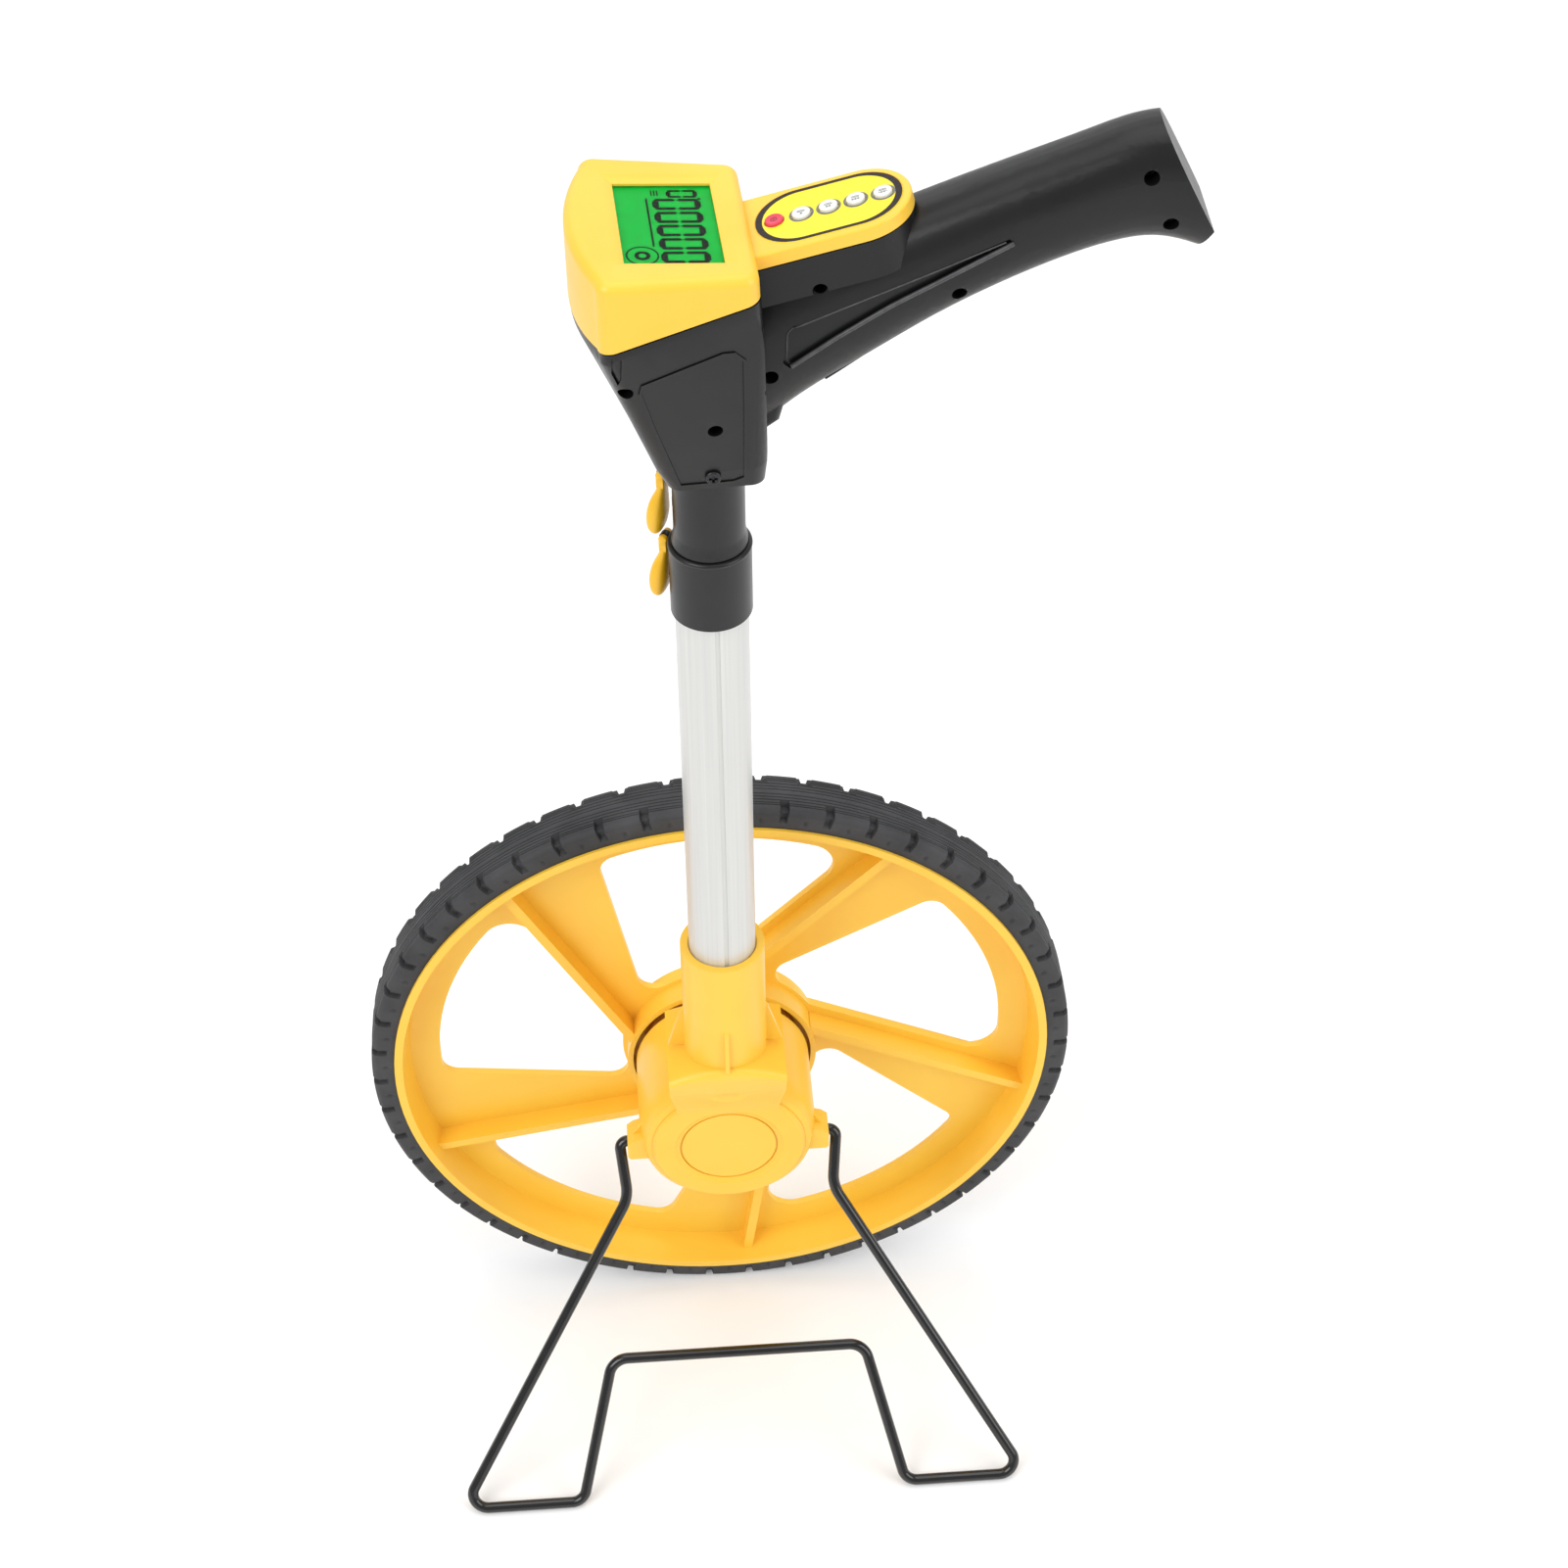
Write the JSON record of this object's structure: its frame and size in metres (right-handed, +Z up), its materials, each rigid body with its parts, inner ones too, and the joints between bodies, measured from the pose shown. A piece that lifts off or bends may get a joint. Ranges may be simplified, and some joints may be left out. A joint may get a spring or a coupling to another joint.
{
  "type": "measuring wheel",
  "caption": "Walking distance-measuring wheel on a telescopic pole, with flip levers, a folding wire stand, and a head with a display, push buttons and a raked grip.",
  "frame": {"origin": "on the floor straight below the pole's axis, at the height of the bottom of the tyre", "axes": "+Z up along the pole, +X along the rolling direction on the grip's side, +Y along the axle towards the wheel"},
  "size_m": [0.3318, 0.1611, 0.6645],
  "materials": {
    "wheel_plastic": "satin warm yellow moulded plastic",
    "casing_black": "black moulded plastic",
    "tyre": "matt black rubber",
    "bearing_steel": "ground and polished",
    "steel": "turned bright steel",
    "magnet": "sintered dark grey",
    "dark_screw": "blackened steel",
    "circuit_board": "green board",
    "sensor_body": "black epoxy",
    "black_wire": "gloss black coating on steel wire",
    "pole_paint": "satin silver-grey tube",
    "collar_plastic": "dark grey plastic",
    "shoe_rubber": "black rubber",
    "head_plastic": "dark grey fine-textured plastic",
    "window": "clear polished window",
    "lcd": "green display face",
    "keypad_label": "printed label film",
    "button_red": "red rubbery plastic",
    "button_white": "white plastic",
    "battery": "wrapped metal cans"
  },
  "bodies": {
    "base": {"hub_casing": "wheel_plastic", "casing_back_plate": "casing_black", "casing_screws": "dark_screw", "axle": "steel", "axle_washer": "steel", "axle_nut": "steel", "bearing_inner_rings": "bearing_steel", "bearing_spacer": "steel", "bearing_balls": "bearing_steel", "sensor_board": "circuit_board", "hall_sensors": "sensor_body", "pole_screw": "dark_screw", "outer_tube": "pole_paint", "lower_collar": "collar_plastic", "lower_clamp_shoe": "shoe_rubber", "lower_lever_pin": "steel"},
    "wheel": {"wheel_rim": "wheel_plastic", "tyre": "tyre", "bearing_outer_rings": "bearing_steel", "magnet_ring": "magnet", "wheel_hub_cap": "wheel_plastic"},
    "stand": {"stand_wire": "black_wire"},
    "lower_lever": {"lower_lever": "wheel_plastic"},
    "mid_pole": {"middle_tube": "pole_paint", "middle_tube_guide": "collar_plastic", "upper_collar": "collar_plastic", "upper_clamp_shoe": "shoe_rubber", "upper_lever_pin": "steel"},
    "upper_lever": {"upper_lever": "wheel_plastic"},
    "head": {"inner_tube": "pole_paint", "inner_tube_guide": "collar_plastic", "housing_near": "head_plastic", "housing_far": "head_plastic", "housing_screws": "dark_screw", "neck_screw": "dark_screw", "display_cover": "wheel_plastic", "display_window": "window", "display_module": "lcd", "display_board": "circuit_board", "keypad_board": "circuit_board", "keypad_label": "keypad_label", "batteries": "battery"},
    "battery_door": {"battery_door": "head_plastic"},
    "power_button": {"power_button": "button_red"},
    "start_button": {"start_button": "button_white"},
    "reset_button": {"reset_button": "button_white"},
    "store_button": {"store_button": "button_white"},
    "unit_button": {"unit_button": "button_white"}
  },
  "joints": [
    {"name": "wheel_spin", "type": "hinge", "parent": "base", "child": "wheel", "pos_m": [0, 0.0555, 0.15915], "axis": [0, 1, 0], "continuous": true},
    {"name": "stand_fold", "type": "hinge", "parent": "base", "child": "stand", "pos_m": [0, 0.0025, 0.154], "axis": [-1, 0, 0], "range_deg": [0, 137]},
    {"name": "lower_lever_flip", "type": "hinge", "parent": "base", "child": "lower_lever", "pos_m": [-0.01622, 0.00756, 0.4924], "axis": [0.4226, 0.9063, 0], "range_deg": [0, 85]},
    {"name": "middle_slide", "type": "slide", "parent": "base", "child": "mid_pole", "axis": [0, 0, 1], "range_m": [0, 0.18]},
    {"name": "upper_lever_flip", "type": "hinge", "parent": "mid_pole", "child": "upper_lever", "pos_m": [-0.01622, 0.00756, 0.5219], "axis": [0.4226, 0.9063, 0], "range_deg": [0, 85]},
    {"name": "inner_slide", "type": "slide", "parent": "mid_pole", "child": "head", "axis": [0, 0, 1], "range_m": [0, 0.18]},
    {"name": "battery_door_swing", "type": "hinge", "parent": "head", "child": "battery_door", "pos_m": [0.08225, 0, 0.59455], "axis": [0, -1, 0], "range_deg": [0, 100]},
    {"name": "power_press", "type": "slide", "parent": "head", "child": "power_button", "axis": [0.2453, 0, -0.9694], "range_m": [0, 0.001], "stiffness_N_per_m": 900},
    {"name": "start_press", "type": "slide", "parent": "head", "child": "start_button", "axis": [0.2453, 0, -0.9694], "range_m": [0, 0.001], "stiffness_N_per_m": 900},
    {"name": "reset_press", "type": "slide", "parent": "head", "child": "reset_button", "axis": [0.2453, 0, -0.9694], "range_m": [0, 0.001], "stiffness_N_per_m": 900},
    {"name": "store_press", "type": "slide", "parent": "head", "child": "store_button", "axis": [0.2453, 0, -0.9694], "range_m": [0, 0.001], "stiffness_N_per_m": 900},
    {"name": "unit_press", "type": "slide", "parent": "head", "child": "unit_button", "axis": [0.2453, 0, -0.9694], "range_m": [0, 0.001], "stiffness_N_per_m": 900}
  ]
}
